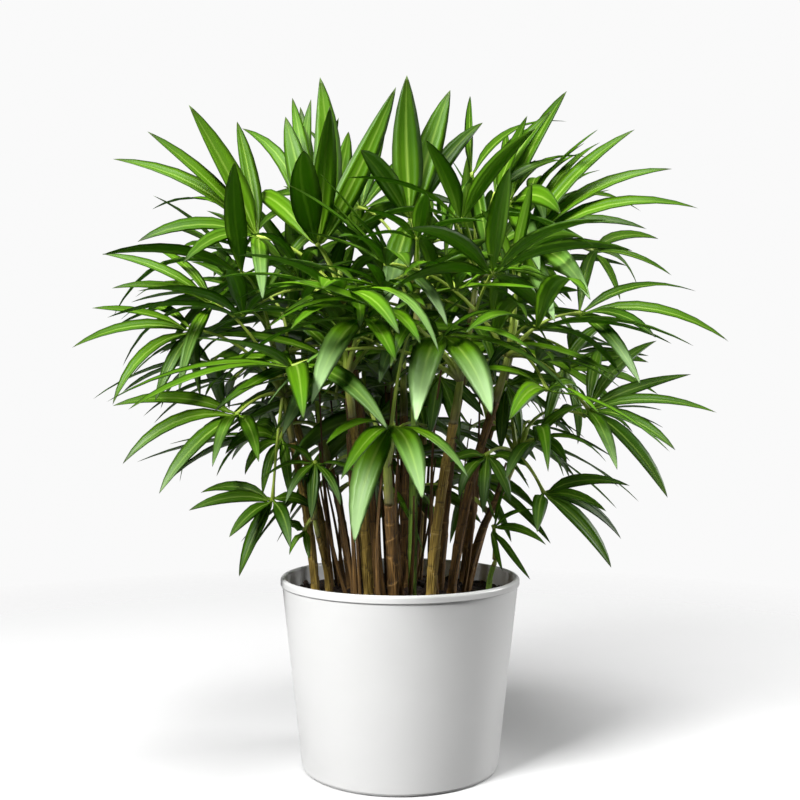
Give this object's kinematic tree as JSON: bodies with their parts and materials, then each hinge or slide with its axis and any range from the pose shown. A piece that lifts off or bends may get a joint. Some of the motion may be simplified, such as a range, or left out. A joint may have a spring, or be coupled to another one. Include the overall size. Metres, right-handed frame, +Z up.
{
  "type": "potted lady palm",
  "caption": "Potted lady palm: a clump of slender canes with crowns of arching fan leaves, standing in soil in a white tapered glazed pot with a rolled lip.",
  "frame": {"origin": "middle of the flat underside of the pot's foot", "axes": "+Z up along the pot's axis; -Y is the front, the side that the picture shows; +X is the viewer's right"},
  "size_m": [0.6144, 0.552, 0.6994],
  "materials": {
    "white_glaze": "gloss",
    "soil": "matte",
    "cane_olive": "matte",
    "cane_brown": "matte",
    "cane_green": "satin",
    "leaf": "satin"
  },
  "bodies": {
    "root": {"pot": "white_glaze", "soil": "soil", "cane_01": "cane_olive", "cane_02": "cane_olive", "cane_03": "cane_brown", "cane_04": "cane_brown", "cane_05": "cane_green", "cane_06": "cane_olive", "cane_07": "cane_brown", "cane_08": "cane_brown", "cane_09": "cane_brown", "cane_10": "cane_green", "cane_11": "cane_olive", "cane_12": "cane_brown", "cane_13": "cane_brown", "cane_14": "cane_olive", "cane_15": "cane_brown", "cane_16": "cane_olive", "cane_17": "cane_brown", "cane_18": "cane_brown", "cane_19": "cane_olive", "crown_01": "leaf", "crown_02": "leaf", "crown_03": "leaf", "crown_04": "leaf", "crown_05": "leaf", "crown_06": "leaf", "crown_07": "leaf", "crown_08": "leaf", "crown_09": "leaf", "crown_10": "leaf", "crown_11": "leaf", "crown_12": "leaf", "crown_13": "leaf", "crown_14": "leaf", "crown_15": "leaf", "crown_16": "leaf", "crown_17": "leaf", "crown_18": "leaf", "crown_19": "leaf"}
  },
  "joints": []
}
